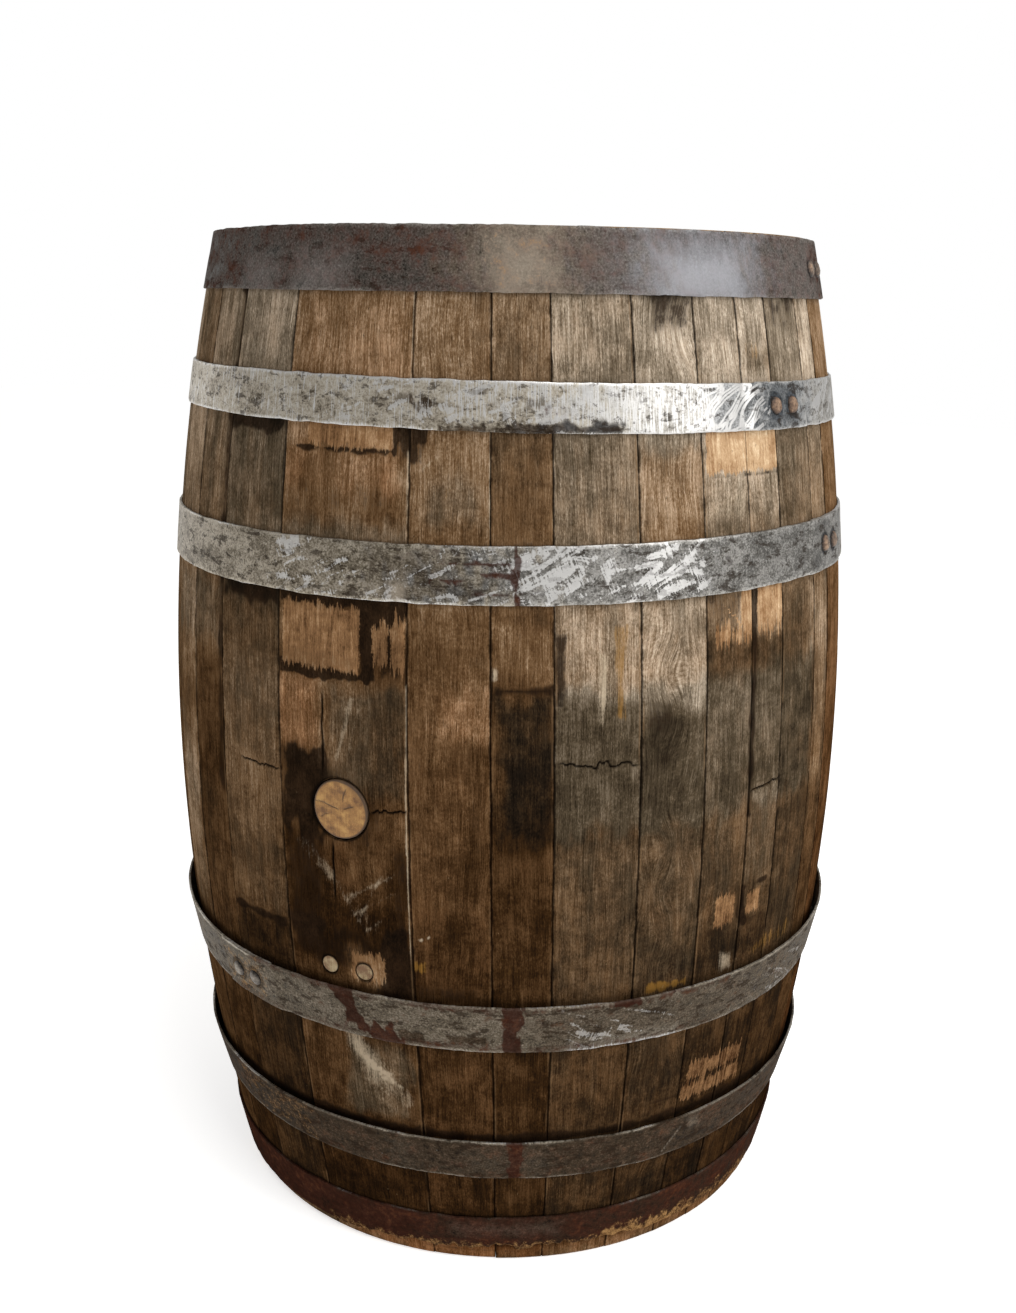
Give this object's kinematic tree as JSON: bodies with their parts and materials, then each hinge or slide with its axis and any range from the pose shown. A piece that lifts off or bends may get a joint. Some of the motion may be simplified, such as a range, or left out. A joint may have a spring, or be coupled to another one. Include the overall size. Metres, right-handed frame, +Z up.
{
  "type": "whiskey barrel",
  "caption": "Oak whiskey barrel of bent staves held by riveted steel hoops, with doweled heads set in grooves, a tapered side bung that pulls out, and flush sample pegs.",
  "frame": {"origin": "centre of the bottom, on the plane of the stave ends that it stands on", "axes": "+Z up along the barrel's axis, -Y towards the bung, +X to the right seen from the bung's side"},
  "size_m": [0.66, 0.66, 0.914],
  "materials": {
    "stave_oak": "weathered, stained and scraped oak",
    "head_oak": "weathered oak",
    "dowel_wood": "plain",
    "hoop_steel": "worn mill steel with ground places and rust",
    "rivet_steel": "rusty",
    "bung_wood": "plain end grain",
    "peg_wood": "plain end grain"
  },
  "bodies": {
    "barrel": {"bung_stave": "stave_oak", "stave_01": "stave_oak", "stave_02": "stave_oak", "stave_03": "stave_oak", "stave_04": "stave_oak", "stave_05": "stave_oak", "stave_06": "stave_oak", "stave_07": "stave_oak", "stave_08": "stave_oak", "stave_09": "stave_oak", "stave_10": "stave_oak", "stave_11": "stave_oak", "stave_12": "stave_oak", "stave_13": "stave_oak", "stave_14": "stave_oak", "stave_15": "stave_oak", "stave_16": "stave_oak", "stave_17": "stave_oak", "stave_18": "stave_oak", "stave_19": "stave_oak", "stave_20": "stave_oak", "stave_21": "stave_oak", "stave_22": "stave_oak", "stave_23": "stave_oak", "stave_24": "stave_oak", "stave_25": "stave_oak", "stave_26": "stave_oak", "stave_27": "stave_oak", "stave_28": "stave_oak", "stave_29": "stave_oak", "stave_30": "stave_oak", "bottom_head_board_1": "head_oak", "bottom_head_board_2": "head_oak", "bottom_head_board_3": "head_oak", "bottom_head_board_4": "head_oak", "bottom_head_board_5": "head_oak", "bottom_head_board_6": "head_oak", "top_head_board_1": "head_oak", "top_head_board_2": "head_oak", "top_head_board_3": "head_oak", "top_head_board_4": "head_oak", "top_head_board_5": "head_oak", "top_head_board_6": "head_oak", "bottom_head_dowels": "dowel_wood", "top_head_dowels": "dowel_wood", "top_chime_hoop": "hoop_steel", "top_quarter_hoop": "hoop_steel", "top_bilge_hoop": "hoop_steel", "bottom_chime_hoop": "hoop_steel", "bottom_quarter_hoop": "hoop_steel", "bottom_bilge_hoop": "hoop_steel", "hoop_rivets": "rivet_steel", "sample_pegs": "peg_wood"},
    "bung": {"bung": "bung_wood"}
  },
  "joints": [
    {"name": "bung_pull", "type": "slide", "parent": "barrel", "child": "bung", "axis": [0, -1, 0], "range_m": [0, 0.08]}
  ]
}
